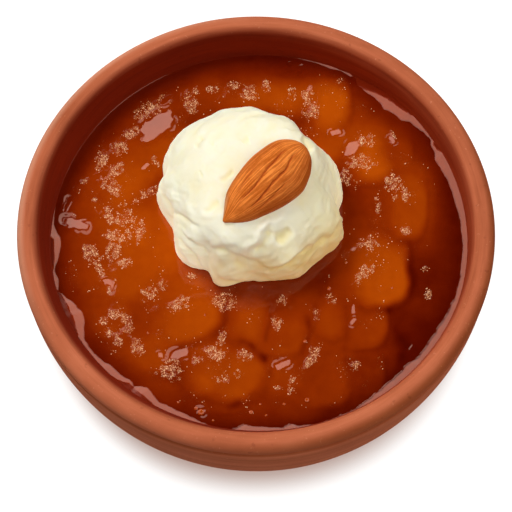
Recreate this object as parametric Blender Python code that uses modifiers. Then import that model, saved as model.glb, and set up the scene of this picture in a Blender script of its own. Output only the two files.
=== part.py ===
"""A terracotta bowl of apricots stewed in syrup, with a scoop of cream and one whole almond.

Metres, +Z up. The origin is the middle of the bowl's flat base. The front of the bowl is at -Y.
"""

from math import atan2, cos, degrees, pi, radians, sin, sqrt

import bmesh
import bpy
from mathutils import Matrix, Vector

# The bowl: a thrown terracotta dish with a rounded lip.
RIM_RADIUS = 0.055
BOWL_HEIGHT = 0.0385
LIP_HALF_WIDTH = 0.0025
LIP_HALF_HEIGHT = 0.0024
LIP_WRAP = radians(30)
LIP_UNDERCUT = 0.0005
LIP_FOOT = 0.0010
WALL_TOP_RADIUS = 0.05475
WALL_TOP_HEIGHT = 0.0334
WALL_SWEEP_RADIUS = 0.0648
WALL_LEAN = radians(24.4)
WALL_THICKNESS = 0.0060
FLOOR_THICKNESS = 0.0062
FLOOR_RADIUS = 0.030
HOLLOW_CURVE_HEIGHT = 0.0165
TURNING_STEPS = 64
LIP_STEPS = 7
WALL_STEPS = 3
FOOT_STEPS = 5
HOLLOW_STEPS = 6

# The stewed apricots fill the bowl to this level, and the fruit swells a little above it.
SYRUP_LEVEL = 0.0283
PIECE_GAP = 0.0003
TOP_RING_SPACING = 0.0026
FRUIT_ROUNDNESS = 0.8

# Each piece of fruit near the top: middle X and Y, half length, half width, turn in degrees, and rise.
FRUIT = [
    (0.0308, -0.0095, 0.0092, 0.0064, 80, 0.0019),
    (0.0250, -0.0227, 0.0055, 0.0050, 20, 0.0013),
    (0.0180, -0.0203, 0.0052, 0.0044, 110, 0.0014),
    (0.0357, 0.0090, 0.0092, 0.0056, 110, 0.0017),
    (0.0275, 0.0195, 0.0082, 0.0056, 75, 0.0018),
    (0.0165, 0.0335, 0.0066, 0.0060, 30, 0.0017),
    (0.0100, -0.0158, 0.0050, 0.0046, 0, 0.0012),
    (0.0068, -0.0240, 0.0060, 0.0053, 140, 0.0014),
    (-0.0027, -0.0200, 0.0058, 0.0050, 20, 0.0016),
    (-0.0168, -0.0188, 0.0088, 0.0074, 35, 0.0018),
    (-0.0077, -0.0342, 0.0098, 0.0072, 165, 0.0019),
    (0.0152, -0.0338, 0.0076, 0.0066, 60, 0.0013),
    (0.0255, -0.0330, 0.0046, 0.0042, 0, 0.0010),
    (-0.0265, -0.0276, 0.0092, 0.0070, 145, 0.0015),
    (-0.0255, 0.0006, 0.0096, 0.0064, 95, 0.0018),
    (-0.0355, -0.0095, 0.0068, 0.0062, 60, 0.0016),
    (-0.0317, 0.0174, 0.0080, 0.0068, 130, 0.0017),
    (-0.0250, 0.0262, 0.0060, 0.0046, 40, 0.0013),
    (-0.0040, 0.0400, 0.0104, 0.0048, 0, 0.0015),
    (0.0345, 0.0235, 0.0048, 0.0036, 80, 0.0012),
]

# The cream: a soft scoop with folds and a ragged skirt, sunk a little way into the fruit.
CREAM_MIDDLE = Vector((-0.0012, 0.0096, 0.0298))
CREAM_RADIUS = 0.0203
CREAM_HEIGHT = 0.0204
CREAM_DOME_POWER = 2.6
CREAM_SINK = 0.0024
CREAM_FLATNESS = 0.4
CREAM_SEGMENTS = 46

# How far the cream's skirt reaches, every ten degrees from +X towards +Y, and where it reaches so far:
# degrees down from the top and half height in degrees.
CREAM_REACH = [
    0.0214, 0.0213, 0.0208, 0.0186, 0.0166, 0.0182, 0.0194, 0.0183, 0.0193, 0.0207, 0.0208, 0.0216,
    0.0210, 0.0218, 0.0225, 0.0225, 0.0219, 0.0205, 0.0219, 0.0206, 0.0195, 0.0205, 0.0220, 0.0220,
    0.0204, 0.0227, 0.0215, 0.0200, 0.0206, 0.0213, 0.0222, 0.0218, 0.0221, 0.0232, 0.0227, 0.0205,
]
SKIRT_DOWN = 94
SKIRT_HALF_HEIGHT = 75

# Where the cream bulges out under the almond. Direction and half width, then degrees down from the
# top and half height, all in degrees, and how far out.
CREAM_BULGES = [
    (250, 45, 48, 26, 0.0016),
    (30, 70, 33, 30, 0.0022),
]

# The folds round the cream: direction and half width in degrees, and degrees down from the top.
CREAM_FOLDS = [
    (225, 75, 68),
    (320, 62, 72),
    (285, 55, 50),
    (30, 50, 76),
    (130, 45, 40),
]
FOLD_SPREAD = 9
FOLD_DEPTH = 0.0012

# The almond: one end pointed, lying on its flat side, pressed into the cream.
ALMOND_LENGTH = 0.0253
ALMOND_THICKNESS = 0.0082
ALMOND_MIDDLE = Vector((0.0021, 0.0037, 0.0507))
ALMOND_TIP_TO_END = Vector((0.706, 0.690, 0.17))
ALMOND_OUTWARD = Vector((0.149, -0.294, 0.944))
ALMOND_SEGMENTS = 24
ALMOND_RINGS = 18

# The almond's two sides: share of the length from the tip, then how far each side reaches.
ALMOND_SIDES = [
    (0.00, 0.00075, 0.00070),
    (0.05, 0.00195, -0.0008),
    (0.10, 0.0030, -0.0021),
    (0.15, 0.0040, -0.0030),
    (0.20, 0.0048, -0.00375),
    (0.30, 0.00565, -0.00475),
    (0.40, 0.00615, -0.0057),
    (0.50, 0.0065, -0.00645),
    (0.60, 0.0066, -0.0069),
    (0.70, 0.0063, -0.0070),
    (0.80, 0.0058, -0.0061),
    (0.85, 0.00535, -0.0055),
    (0.90, 0.0045, -0.0046),
    (0.95, 0.0032, -0.0034),
    (0.98, 0.0020, -0.0021),
    (1.00, 0.00005, -0.00005),
]


def clear_scene():
    for obj in list(bpy.data.objects):
        bpy.data.objects.remove(obj, do_unlink=True)


def new_collection(name):
    collection = bpy.data.collections.new(name)
    bpy.context.scene.collection.children.link(collection)
    return collection


def new_material(name, color, roughness):
    material = bpy.data.materials.new(name)
    material.use_nodes = True
    shader = material.node_tree.nodes["Principled BSDF"]
    shader.inputs["Base Color"].default_value = (*color, 1.0)
    shader.inputs["Roughness"].default_value = roughness
    shader.inputs["Metallic"].default_value = 0.0
    material.diffuse_color = (*color, 1.0)
    return material


def new_object(name, mesh, collection, material=None):
    obj = bpy.data.objects.new(name, mesh)
    collection.objects.link(obj)
    if material is not None:
        mesh.materials.append(material)
    return obj


def shade_round(obj, sharp_from=radians(40)):
    obj.data.shade_smooth()
    obj.data.set_sharp_from_angle(angle=sharp_from)


def arc(middle, half_sizes, start, end, steps):
    """Points (radius, height) along an elliptical arc, from one angle to the other."""
    points = []
    for i in range(steps + 1):
        angle = start + (end - start) * i / steps
        points.append((middle[0] + half_sizes[0] * cos(angle), middle[1] + half_sizes[1] * sin(angle)))
    return points


def turned(name, profile, collection, material=None):
    """A solid turned about Z. The profile starts and ends on the axis and runs down its outer side."""
    mesh = bpy.data.meshes.new(name)
    mesh.from_pydata([(r, 0, z) for r, z in profile], [(i, i + 1) for i in range(len(profile) - 1)], [])
    obj = new_object(name, mesh, collection, material)
    screw = obj.modifiers.new("Turning", "SCREW")
    screw.axis = "Z"
    screw.steps = screw.render_steps = TURNING_STEPS
    screw.use_merge_vertices = True
    screw.merge_threshold = 0.00002
    screw.use_smooth_shade = True
    return obj


def as_plain_mesh(obj):
    """Replaces the object's mesh by what its modifiers make of it."""
    graph = bpy.context.evaluated_depsgraph_get()
    made = bpy.data.meshes.new_from_object(obj.evaluated_get(graph))
    obj.modifiers.clear()
    obj.data = made
    return obj


def cut(obj, cutter):
    cutter.hide_render = True
    cutter.display_type = "WIRE"
    boolean = obj.modifiers.new("Seat of " + cutter.name, "BOOLEAN")
    boolean.operation = "DIFFERENCE"
    boolean.solver = "EXACT"
    boolean.object = cutter


def wall_outside(height):
    """Radius of the bowl's outer wall at a height below the lip."""
    drop = WALL_TOP_HEIGHT - height
    return WALL_TOP_RADIUS - WALL_SWEEP_RADIUS + sqrt(WALL_SWEEP_RADIUS**2 - drop**2)


def wall_inside(height):
    """Radius of the hollow, which follows the outer wall down to the curve of its floor."""
    if height >= HOLLOW_CURVE_HEIGHT:
        return wall_outside(height) - WALL_THICKNESS
    top = wall_outside(HOLLOW_CURVE_HEIGHT) - WALL_THICKNESS
    share = (HOLLOW_CURVE_HEIGHT - height) / (HOLLOW_CURVE_HEIGHT - FLOOR_THICKNESS)
    return FLOOR_RADIUS + (top - FLOOR_RADIUS) * sqrt(max(0.0, 1 - share**2))


def hollow_profile(top, gap):
    """The hollow's outline from the middle of its floor up to a height, drawn in by a gap."""
    points = [(0.0, FLOOR_THICKNESS + gap)]
    for i in range(HOLLOW_STEPS + 1):
        share = cos(pi / 2 * i / HOLLOW_STEPS)
        height = HOLLOW_CURVE_HEIGHT - share * (HOLLOW_CURVE_HEIGHT - FLOOR_THICKNESS)
        points.append((wall_inside(height) - gap, height + gap * share))
    for share in (0.5, 1.0):
        height = HOLLOW_CURVE_HEIGHT + share * (top - HOLLOW_CURVE_HEIGHT)
        points.append((wall_inside(height) - gap, height))
    return points


def bowl_profile():
    """Up the hollow, over the lip, and down the outer wall to the flat base."""
    points = hollow_profile(WALL_TOP_HEIGHT - LIP_FOOT, 0.0)
    lip_middle = (RIM_RADIUS - LIP_HALF_WIDTH, BOWL_HEIGHT - LIP_HALF_HEIGHT)
    points += arc(lip_middle, (LIP_HALF_WIDTH, LIP_HALF_HEIGHT), pi, -LIP_WRAP, LIP_STEPS)
    points.append((WALL_TOP_RADIUS - LIP_UNDERCUT, (points[-1][1] + WALL_TOP_HEIGHT) / 2))

    sweep_middle = WALL_TOP_RADIUS - WALL_SWEEP_RADIUS
    sweep = (WALL_SWEEP_RADIUS, WALL_SWEEP_RADIUS)
    points += arc((sweep_middle, WALL_TOP_HEIGHT), sweep, 0.0, -WALL_LEAN, WALL_STEPS)

    # The foot's curve carries on from the wall and ends level on the base.
    foot = (WALL_TOP_HEIGHT - WALL_SWEEP_RADIUS * sin(WALL_LEAN)) / (1 - sin(WALL_LEAN))
    foot_middle = sweep_middle + (WALL_SWEEP_RADIUS - foot) * cos(WALL_LEAN)
    points += arc((foot_middle, foot), (foot, foot), -WALL_LEAN, -pi / 2, FOOT_STEPS)[1:]
    return points + [(0.0, 0.0)]


def make_bowl(collection, material):
    bowl = turned("bowl", bowl_profile(), collection, material)
    as_plain_mesh(bowl)
    shade_round(bowl)
    return bowl


def fruit_rise(x, y):
    """How far the fruit swells above the syrup at a point."""
    highest = 0.0
    for middle_x, middle_y, half_length, half_width, turn, rise in FRUIT:
        dx, dy = x - middle_x, y - middle_y
        along = dx * cos(radians(turn)) + dy * sin(radians(turn))
        across = dy * cos(radians(turn)) - dx * sin(radians(turn))
        inside = 1 - (along / half_length) ** 2 - (across / half_width) ** 2
        if inside > 0:
            highest = max(highest, rise * inside**FRUIT_ROUNDNESS)
    return highest


def make_stewed_apricots(collection, material):
    """One body of fruit and syrup, up to its uneven top."""
    edge = wall_inside(SYRUP_LEVEL) - PIECE_GAP
    rings = round(edge / TOP_RING_SPACING)
    top = [(edge * i / rings, SYRUP_LEVEL) for i in range(rings + 1)]
    sides = hollow_profile(SYRUP_LEVEL, PIECE_GAP)[:-1]
    apricots = turned("stewed_apricots", top + sides[::-1], collection, material)
    as_plain_mesh(apricots)
    for vertex in apricots.data.vertices:
        on_top = vertex.co.z > SYRUP_LEVEL - PIECE_GAP
        if on_top and vertex.co.xy.length < edge - PIECE_GAP:
            vertex.co.z += fruit_rise(vertex.co.x, vertex.co.y)
    shade_round(apricots)
    return apricots


def swell(angle, middle, spread):
    """A smooth bump of height 1 round a direction, all in degrees."""
    away = (angle - middle + 180) % 360 - 180
    return max(0.0, 1 - (away / spread) ** 2) ** 2


def skirt_reach(turn):
    """How far the skirt reaches in a direction in degrees."""
    place = (turn % 360) / 360 * len(CREAM_REACH)
    before = int(place)
    start, end = (CREAM_REACH[i % len(CREAM_REACH)] for i in (before, before + 1))
    return start + (end - start) * (place - before)


def cream_point(direction, grow):
    """The cream's surface in a direction from its middle: a dome with bulges and folds, flat underneath."""
    fall = degrees(direction.angle(Vector((0, 0, 1))))
    turn = degrees(atan2(direction.y, direction.x))
    bulge = 0.0
    for middle, spread, down, half_height, out in CREAM_BULGES:
        bulge += out * swell(turn, middle, spread) * swell(fall, down, half_height)
    fold = 0.0
    for middle, spread, down in CREAM_FOLDS:
        fold = max(fold, FOLD_DEPTH * swell(turn, middle, spread) * swell(fall, down, FOLD_SPREAD))
    out = bulge - fold + grow
    skirt = (skirt_reach(turn) - CREAM_RADIUS) * swell(fall, SKIRT_DOWN, SKIRT_HALF_HEIGHT)
    reach = CREAM_RADIUS + skirt + out
    if direction.z > 0:
        dome = (1 - direction.xy.length**CREAM_DOME_POWER) ** (1 / CREAM_DOME_POWER)
        height = dome * (CREAM_HEIGHT + out)
    else:
        height = -((-direction.z) ** CREAM_FLATNESS) * (CREAM_SINK + grow)
    return Vector((direction.x * reach, direction.y * reach, height))


def cream_mesh(name, grow=0.0):
    mesh = bpy.data.meshes.new(name)
    shape = bmesh.new()
    bmesh.ops.create_uvsphere(shape, u_segments=CREAM_SEGMENTS, v_segments=CREAM_SEGMENTS // 2, radius=1.0)
    for vertex in shape.verts:
        vertex.co = CREAM_MIDDLE + cream_point(vertex.co.normalized(), grow)
    shape.to_mesh(mesh)
    shape.free()
    return mesh


def almond_section(share):
    """The almond's middle line and half width at a share of its length from the tip."""
    for (start, left, right), (end, next_left, next_right) in zip(ALMOND_SIDES, ALMOND_SIDES[1:]):
        if share <= end:
            part = (share - start) / (end - start)
            left += (next_left - left) * part
            right += (next_right - right) * part
            break
    return (left + right) / 2, (left - right) / 2


def almond_frame():
    """Turns +X to the almond's length and +Z to the side that faces out of the cream."""
    along = ALMOND_TIP_TO_END.normalized()
    outward = (ALMOND_OUTWARD - ALMOND_OUTWARD.project(along)).normalized()
    across = outward.cross(along)
    return Matrix.Translation(ALMOND_MIDDLE) @ Matrix((along, across, outward)).transposed().to_4x4()


def almond_mesh(name, grow=0.0):
    half_length = ALMOND_LENGTH / 2 + grow
    widest = max((left - right) / 2 for share, left, right in ALMOND_SIDES)
    mesh = bpy.data.meshes.new(name)
    shape = bmesh.new()
    bmesh.ops.create_uvsphere(
        shape,
        u_segments=ALMOND_SEGMENTS,
        v_segments=ALMOND_RINGS,
        radius=1.0,
        matrix=Matrix.Rotation(pi / 2, 4, "Y"),
    )
    for vertex in shape.verts:
        section = Vector((vertex.co.y, vertex.co.z))
        middle, half_width = almond_section(min(1.0, (vertex.co.x + 1) / 2))
        if section.length > 1e-4:
            section.normalize()
            section.x *= half_width + grow
            section.y *= half_width / widest * ALMOND_THICKNESS / 2 + grow
        vertex.co = (vertex.co.x * half_length, middle + section.x, section.y)
    shape.to_mesh(mesh)
    shape.free()
    mesh.transform(almond_frame())
    return mesh


def main():
    clear_scene()
    dessert = new_collection("khubani_ka_meetha")
    cutters = new_collection("cutters")
    terracotta = new_material("terracotta", (0.46, 0.13, 0.06), 0.75)
    syrup = new_material("apricot_syrup", (0.36, 0.06, 0.008), 0.15)
    cream_white = new_material("cream", (0.88, 0.82, 0.60), 0.5)
    almond_skin = new_material("almond_skin", (0.50, 0.17, 0.04), 0.6)

    make_bowl(dessert, terracotta)
    apricots = make_stewed_apricots(dessert, syrup)
    cream = new_object("cream_scoop", cream_mesh("cream_scoop"), dessert, cream_white)
    almond = new_object("almond", almond_mesh("almond"), dessert, almond_skin)
    shade_round(cream)
    shade_round(almond)

    cut(apricots, new_object("cream_seat", cream_mesh("cream_seat", PIECE_GAP), cutters))
    cut(cream, new_object("almond_seat", almond_mesh("almond_seat", PIECE_GAP), cutters))


main()
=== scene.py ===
import math

import bpy
import numpy as np
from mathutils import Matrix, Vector


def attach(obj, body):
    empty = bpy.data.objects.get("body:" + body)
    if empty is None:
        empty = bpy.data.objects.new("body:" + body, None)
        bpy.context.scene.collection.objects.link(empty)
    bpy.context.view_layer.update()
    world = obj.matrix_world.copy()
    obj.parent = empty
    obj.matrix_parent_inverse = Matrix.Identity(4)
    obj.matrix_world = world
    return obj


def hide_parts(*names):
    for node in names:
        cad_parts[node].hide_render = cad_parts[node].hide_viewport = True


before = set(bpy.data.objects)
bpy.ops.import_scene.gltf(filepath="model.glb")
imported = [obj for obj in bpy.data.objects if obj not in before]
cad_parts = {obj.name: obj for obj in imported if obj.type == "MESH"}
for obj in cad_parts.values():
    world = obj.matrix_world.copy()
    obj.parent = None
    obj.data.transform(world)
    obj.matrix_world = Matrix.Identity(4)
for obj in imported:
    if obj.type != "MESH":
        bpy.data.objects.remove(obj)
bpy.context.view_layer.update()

mm = 0.001
scene = bpy.context.scene
print("frame loaded")


# helpers

class Wire:
    # a socket in a node tree, so that sums on sockets can be written as sums
    def __init__(self, tree, socket=None):
        self.tree, self.socket = tree, socket

    def add(self, kind, settings=None, inputs=None, out=0):
        # any other node: its settings, then values or links of its inputs
        node = self.tree.nodes.new(kind)
        for name, value in (settings or {}).items():
            setattr(node, name, value)
        for name, value in (inputs or {}).items():
            if isinstance(value, Wire):
                self.tree.links.new(value.socket, node.inputs[name])
            else:
                node.inputs[name].default_value = value
        return Wire(self.tree, node.outputs[out] if len(node.outputs) else None)

    def other(self, name):  # another output of the same node
        return Wire(self.tree, self.socket.node.outputs[name])

    def math(self, operation, *values):
        return self.add("ShaderNodeMath", {"operation": operation}, dict(enumerate(values)))

    def ranged(self, low, high, to=(0.0, 1.0)):  # a value's range stretched smoothly onto another
        settings = {"interpolation_type": "SMOOTHSTEP"}
        return self.add("ShaderNodeMapRange", settings, {0: self, 1: low, 2: high, 3: to[0], 4: to[1]})

    def over(self, low, high):  # the same for a place in mm
        return self.ranged(low * mm, high * mm)

    def blend(self, first, second, kind="MIX"):  # two colours mixed, by this value
        settings = {"data_type": "RGBA", "blend_type": kind}
        return self.add("ShaderNodeMix", settings, {0: self, 6: first, 7: second}, out=2)

    def ramp(self, *stops):  # colours by this value
        ramped = self.add("ShaderNodeValToRGB", None, {0: self})
        elements = ramped.socket.node.color_ramp.elements
        while len(elements) < len(stops):
            elements.new(1.0)
        for element, (place, color) in zip(elements, stops):
            element.position, element.color = place, (*color, 1.0)
        return ramped

    def noise(self, place, scale, detail=2.0, roughness=0.5):
        inputs = {"Vector": place, "Scale": scale, "Detail": detail, "Roughness": roughness}
        return self.add("ShaderNodeTexNoise", None, inputs)

    def bump(self, height, strength, depth):  # depth in mm
        inputs = {"Strength": strength, "Distance": depth * mm, "Height": height}
        return self.add("ShaderNodeBump", None, inputs)

    def attributes(self, *names):  # values that the mesh carries
        return [self.add("ShaderNodeAttribute", {"attribute_name": name}, out=2) for name in names]

    def vector(self, x, y, z):
        return self.add("ShaderNodeCombineXYZ", None, {0: x, 1: y, 2: z})

    def split(self, place):
        x = self.add("ShaderNodeSeparateXYZ", None, {0: place})
        return x, x.other(1), x.other(2)


for name, operation in (("add", "ADD"), ("sub", "SUBTRACT"), ("mul", "MULTIPLY"), ("truediv", "DIVIDE")):
    setattr(Wire, f"__{name}__", lambda one, two, kind=operation: one.math(kind, one, two))
    setattr(Wire, f"__r{name}__", lambda one, two, kind=operation: one.math(kind, two, one))


def fromAxis(x, y):
    square = x * x + y * y
    return square.math("SQRT", square)


def newMaterial(name):
    material = bpy.data.materials.new(name)
    material.use_nodes = True
    material.node_tree.nodes.clear()
    wire = Wire(material.node_tree)
    return material, wire, wire.add("ShaderNodeTexCoord", out=3)


def finishMaterial(wire, color, fixed, **varying):
    # one Principled shader: fixed holds the values that are the same all over
    inputs = {"Base Color": color, **fixed, **varying}
    shader = wire.add("ShaderNodeBsdfPrincipled", {"subsurface_method": "RANDOM_WALK"}, inputs)
    wire.add("ShaderNodeOutputMaterial", None, {"Surface": shader})


def newTree(name, **sockets):
    # a Geometry Nodes tree: its wire, the geometry that comes in, and its named inputs
    tree = bpy.data.node_groups.new(name, "GeometryNodeTree")
    for socket, kind in {"Geometry": "Geometry", **sockets}.items():
        tree.interface.new_socket(socket, in_out="INPUT", socket_type="NodeSocket" + kind)
    tree.interface.new_socket("Geometry", in_out="OUTPUT", socket_type="NodeSocketGeometry")
    wire = Wire(tree)
    start = wire.add("NodeGroupInput")
    return wire, start, *(start.other(socket) for socket in sockets)


def endTree(wire, geometry, material):
    real = wire.add("GeometryNodeRealizeInstances", None, {0: geometry})
    covered = wire.add("GeometryNodeSetMaterial", None, {0: real, "Material": material})
    wire.add("NodeGroupOutput", None, {0: covered})
    return wire.tree


def newObject(name, data):
    thing = bpy.data.objects.new(name, data)
    scene.collection.objects.link(thing)
    return thing


def newPiece(name, points, faces, material, **attributes):
    mesh = bpy.data.meshes.new(name)
    mesh.from_pydata(np.asarray(points).tolist(), [], faces)
    mesh.polygons.foreach_set("use_smooth", [True] * len(mesh.polygons))
    for key, values in attributes.items():
        mesh.attributes.new(key, "FLOAT", "POINT").data.foreach_set("value", np.asarray(values, np.float32))
    mesh.materials.append(material)
    mesh.update()
    return newObject(name, mesh)


def runTree(carrier, tree, values, name):
    # sets the named inputs, and turns the result into a plain mesh of its own
    modifier = carrier.modifiers.new("nodes", "NODES")
    modifier.node_group = tree
    for item in tree.interface.items_tree:
        if item.in_out == "INPUT" and item.name in values:
            modifier[item.identifier] = values[item.name]
    seenFrom = bpy.context.evaluated_depsgraph_get()
    mesh = bpy.data.meshes.new_from_object(carrier.evaluated_get(seenFrom))
    carrier.modifiers.remove(modifier)
    mesh.name = name
    used = [material for material in mesh.materials if material]
    mesh.materials.clear()
    mesh.materials.append(used[0])
    mesh.polygons.foreach_set("material_index", [0] * len(mesh.polygons))
    return newObject(name, mesh)


def place(piece, node, slot):
    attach(piece, "root")
    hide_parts(node)


def softNoise(x, y, size, seed):  # smooth bumps about size across, from -1 to 1
    table = np.random.default_rng(seed).uniform(-1, 1, (256, 256))
    turn = seed * 1.7
    gridX = (x * math.cos(turn) - y * math.sin(turn)) / size + 90.5
    gridY = (x * math.sin(turn) + y * math.cos(turn)) / size + 90.5
    cellX, cellY = np.floor(gridX).astype(int), np.floor(gridY).astype(int)
    shareX, shareY = ((s ** 3 * (s * (s * 6 - 15) + 10)) for s in (gridX - cellX, gridY - cellY))
    rows = [table[cellX % 256, (cellY + step) % 256] * (1 - shareX)
            + table[(cellX + 1) % 256, (cellY + step) % 256] * shareX for step in (0, 1)]
    return rows[0] * (1 - shareY) + rows[1] * shareY


def smoothStep(value, low, high):
    share = np.clip((value - low) / (high - low), 0, 1)
    return share * share * (3 - 2 * share)


def fadeEnds(share, start, full, fading, end):  # 0 at both ends of a stroke, 1 between them
    return smoothStep(share, start, full) * (1 - smoothStep(share, fading, end))


def curveThrough(at, knots, values):  # a smooth curve through points
    knots, values = np.array(knots, float), np.array(values, float)
    slopes = np.gradient(values, knots)
    i = np.clip(np.searchsorted(knots, at) - 1, 0, len(knots) - 2)
    step = knots[i + 1] - knots[i]
    s = (at - knots[i]) / step
    return ((1 + 2 * s) * (1 - s) ** 2 * values[i] + s * (1 - s) ** 2 * step * slopes[i]
            + s * s * (3 - 2 * s) * values[i + 1] - s * s * (1 - s) * step * slopes[i + 1])


def strokeDistance(u, v, line):
    # signed distance from a line of points, left side positive, and the share of the way along it
    best, side, share = np.full(u.shape, 1e9), np.zeros(u.shape), np.zeros(u.shape)
    lengths = [math.dist(a, b) for a, b in zip(line, line[1:])]
    done = 0.0
    for (ax, ay), (bx, by), length in zip(line, line[1:], lengths):
        dx, dy = (bx - ax) / length, (by - ay) / length
        along = np.clip((u - ax) * dx + (v - ay) * dy, 0, length)
        away = np.hypot(u - ax - along * dx, v - ay - along * dy)
        near = away < best
        cross = dx * (v - ay) - dy * (u - ax)
        best = np.where(near, away, best)
        side = np.where(near, np.sign(cross), side)
        share = np.where(near, (done + along) / sum(lengths), share)
        done += length
    return best * -side, share


def roundGrid(values, turns):  # each value with every angle round a circle
    angles = np.arange(turns) / turns * 2 * math.pi
    return [grid.ravel() for grid in np.meshgrid(values, angles, indexing="ij")]


def wrapFaces(first, rows, turns, end):
    # faces between rows of points round a piece, and from the last row to the point that closes it
    pairs = [(i, (i + 1) % turns) for i in range(turns)]
    last = first + (rows - 1) * turns
    faces = [(row + i, row + turns + i, row + turns + j, row + j)
             for row in range(first, last, turns) for i, j in pairs]
    return faces + [(end, last + j, last + i) for i, j in pairs]


def closedFaces(rows, turns):  # the same with a point at either end, which come after the rows
    top = rows * turns
    return wrapFaces(0, rows, turns, top + 1) + [(top, i, (i + 1) % turns) for i in range(turns)]


# camera

view = {
    "elevation": 66.5,
    "aim": Vector((0.0, -7.34, 36.0)) * mm,
    "distance": 500 * mm,
    "lens": 153.6,
    "sensor": 36.0,
    "frame": 512,  # the photo's pixels
}
viewTilt = math.radians(90 - view["elevation"])
viewBack = Vector((0, -math.sin(viewTilt), math.cos(viewTilt)))
viewUp = Vector((0, math.cos(viewTilt), math.sin(viewTilt)))
eye = view["aim"] + viewBack * view["distance"]
pixelsPerUnit = view["frame"] * view["lens"] / view["sensor"]

cameraData = bpy.data.cameras.new("camera")
cameraData.lens, cameraData.sensor_width = view["lens"], view["sensor"]
cameraData.clip_start, cameraData.clip_end = 0.01, 20
camera = newObject("camera", cameraData)
camera.location, camera.rotation_euler = eye, (viewTilt, 0, 0)
scene.camera = camera


def inPhoto(points):  # pixels of the photo's frame where points land
    away = points - np.array(eye)
    depth = -away @ np.array(viewBack)
    half = view["frame"] / 2
    return (half + away[:, 0] / depth * pixelsPerUnit,
            half - away @ np.array(viewUp) / depth * pixelsPerUnit)


def fromPhoto(u, v, height):  # the point at a height that lands on a pixel
    half = view["frame"] / 2
    ray = (Vector((1, 0, 0)) * (u - half) + viewUp * (half - v)) / pixelsPerUnit - viewBack
    spot = eye + ray * ((height - eye.z) / ray.z)
    return spot.x, spot.y


# light and floor

light = {
    "key": {"direction": (-0.5, 0.42, 1.0), "distance": 1.2, "size": 0.55, "power": 7.8},
    "fill": {"direction": (0.4, -0.42, 0.9), "distance": 1.2, "size": 0.9, "power": 4.4},
    "aim": (0, 0, 0.03), "warmth": (1.0, 0.97, 0.94, 1.0), "seen": 0.8,
    "dim": (0.1, 0.42),  # what the room adds to matt surfaces, from its low walls and from overhead
    "pale": 4.4,  # how pale the low walls of the room look in wet surfaces
    "dark": (0.0, 0.398, 0.917),  # the part of the room over the table that stays dark in them
    "darkEdge": (34, 31),  # its outer and inner edge in degrees
    "window": (-0.23, 0.616, 0.753),  # the lit window in it
    "windowEdge": (6.8, 5.8), "windowGlow": 6.5,
    "floor": (0.25, 0.245, 0.24), "floorGrain": 0.99,
    # the floor's glow, seen by the camera only, is painted light, darker near the bowl as a painted shadow
    # that fades out between these radii in mm
    "floorPaintedLight": ((0.4, 0.28, 0.24, 1), (0.98, 0.97, 0.96, 1)), "floorShade": (46.5, 55.5),
}


def addArea(name, direction, distance, size, power):
    data = bpy.data.lights.new(name, "AREA")
    data.shape, data.size, data.energy = "DISK", size, power
    lamp = newObject(name, data)
    way = Vector(direction).normalized()
    lamp.location = Vector(light["aim"]) + way * distance
    lamp.rotation_euler = way.to_track_quat("Z", "Y").to_euler()
    lamp.visible_glossy = False


for name in ("key", "fill"):
    addArea(name, **light[name])

world = bpy.data.worlds.new("studio")
scene.world = world
world.use_nodes = True
world.node_tree.nodes.clear()
sky = Wire(world.node_tree)
towards = sky.add("ShaderNodeTexCoord", out=0)


def skyDisc(direction, edges):  # 1 inside a round part of the room, 0 outside
    outer, inner = (math.cos(math.radians(edge)) for edge in edges)
    near = sky.add("ShaderNodeVectorMath", {"operation": "DOT_PRODUCT"},
                   {0: towards, 1: Vector(direction).normalized()}, out=1)
    return near.ranged(outer, inner)


wetGlow = (1 - skyDisc(light["dark"], light["darkEdge"])) * light["pale"]
wetGlow = wetGlow + skyDisc(light["window"], light["windowEdge"]) * light["windowGlow"]
matt = sky.split(towards)[2].ranged(0.0, 1.0, light["dim"])
path = sky.add("ShaderNodeLightPath")
glossy, seen = path.other("Is Glossy Ray"), path.other("Is Camera Ray")
strength = (1 - glossy) * matt + glossy * wetGlow + seen * light["seen"]
background = sky.add("ShaderNodeBackground", None, {"Color": light["warmth"], "Strength": strength})
sky.add("ShaderNodeOutputWorld", None, {"Surface": background})

floorMaterial, wire, where = newMaterial("palePaper")
dull = (light["floorGrain"] * value for value in light["floor"])
tone = wire.noise(where, 900, 3).blend((*dull, 1), (*light["floor"], 1))
# painted light on the floor, seen only by the camera, with a painted shadow round the bowl
paintedGlow = fromAxis(*wire.split(where)[:2]).over(*light["floorShade"]).blend(*light["floorPaintedLight"])
paintedGlow = wire.add("ShaderNodeLightPath").blend((0, 0, 0, 1), paintedGlow)
finishMaterial(wire, tone, {"Roughness": 0.9, "Specular IOR Level": 0.0, "Emission Strength": 1.0,
                            "Emission Color": paintedGlow})
floor = newPiece("floor", [(-3, -3, 0), (3, -3, 0), (3, 3, 0), (-3, 3, 0)], [(0, 1, 2, 3)], floorMaterial)
scene.view_settings.view_transform = "Standard"
print("camera, light and floor")


# bowl

bowl = {
    "rimRadius": 55.0, "height": 38.5,
    "lipHalf": (2.5, 2.4), "lipWrap": 30, "lipSteps": 26, "undercut": 0.9,
    "wallTop": (54.75, 33.4), "sweep": 64.8, "lean": 24.4, "wallSteps": 22, "footSteps": 14,
    "thickness": 6.0, "floorThickness": 6.2, "floorRadius": 30.0, "hollowCurve": 16.5, "hollowSteps": 18,
    "turns": 288, "unevenness": 0.22 * mm, "ridges": 0.05 * mm,
    "hollowShift": (0.72, 0.5),  # the hand that hollowed it kept a little off the middle
}


def wallOutside(height):
    drop = bowl["wallTop"][1] - height
    return bowl["wallTop"][0] - bowl["sweep"] + math.sqrt(bowl["sweep"] ** 2 - drop ** 2)


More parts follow.
